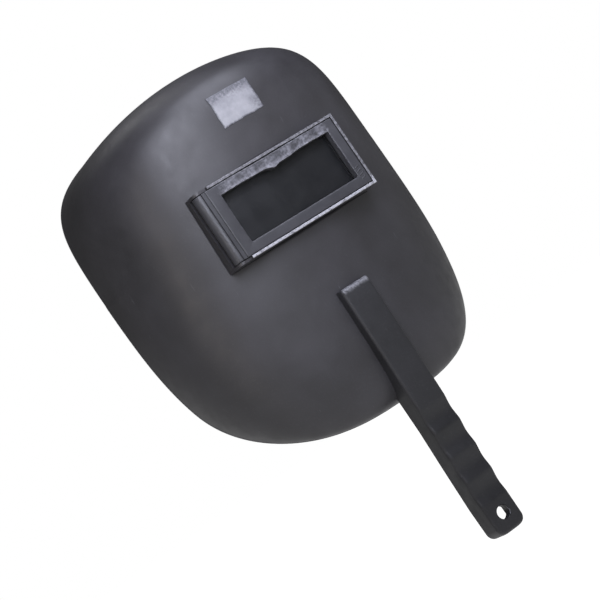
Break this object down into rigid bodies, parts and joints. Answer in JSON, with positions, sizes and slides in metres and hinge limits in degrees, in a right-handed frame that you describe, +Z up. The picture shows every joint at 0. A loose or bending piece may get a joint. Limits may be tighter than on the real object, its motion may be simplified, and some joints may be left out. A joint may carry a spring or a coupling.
{
  "type": "hand-held welding shield",
  "caption": "Dished black plastic face shield with a rectangular filter window behind a hinged frame and a straight grip handle with finger grooves and a hanging hole.",
  "frame": {"origin": "middle of the hanging hole, on the hole's axis, halfway through the handle's tab", "axes": "+X to the right of someone facing the shield's front, the front faces -Y and the wearer's face is on +Y, +Z up along the handle towards the window"},
  "size_m": [0.2586, 0.1449, 0.4299],
  "materials": {
    "black_plastic": "satin moulded polypropylene",
    "grey_black_plastic": "satin moulded polypropylene, scuffed",
    "handle_plastic": "satin moulded polypropylene",
    "zinc_steel": "zinc plated",
    "steel_pin": "drawn wire",
    "spring_steel": "blued strip",
    "gasket_rubber": "matt",
    "clear_plate": "clear, polished",
    "dark_filter_glass": "dark green-black, polished",
    "brass_insert": "machined",
    "label_paper": "worn blank sticker"
  },
  "bodies": {
    "shield": {"shell": "black_plastic", "window_housing": "black_plastic", "housing_screws": "zinc_steel", "housing_washers": "zinc_steel", "hinge_pin": "steel_pin", "cover_plate": "clear_plate", "spacer_gasket": "gasket_rubber", "filter_plate": "dark_filter_glass", "rear_gasket": "gasket_rubber", "inner_cover_plate": "clear_plate", "plate_springs": "spring_steel", "handle": "handle_plastic", "handle_inserts": "brass_insert", "handle_backing_plate": "black_plastic", "handle_washers": "zinc_steel", "handle_screws": "zinc_steel", "label": "label_paper"},
    "bezel": {"front_bezel": "grey_black_plastic", "front_gasket": "gasket_rubber"}
  },
  "joints": [
    {"name": "bezel_hinge", "type": "hinge", "parent": "shield", "child": "bezel", "pos_m": [-0.0654, -0.00805, 0.2885], "axis": [0, 0, -1], "range_deg": [0, 110]}
  ]
}
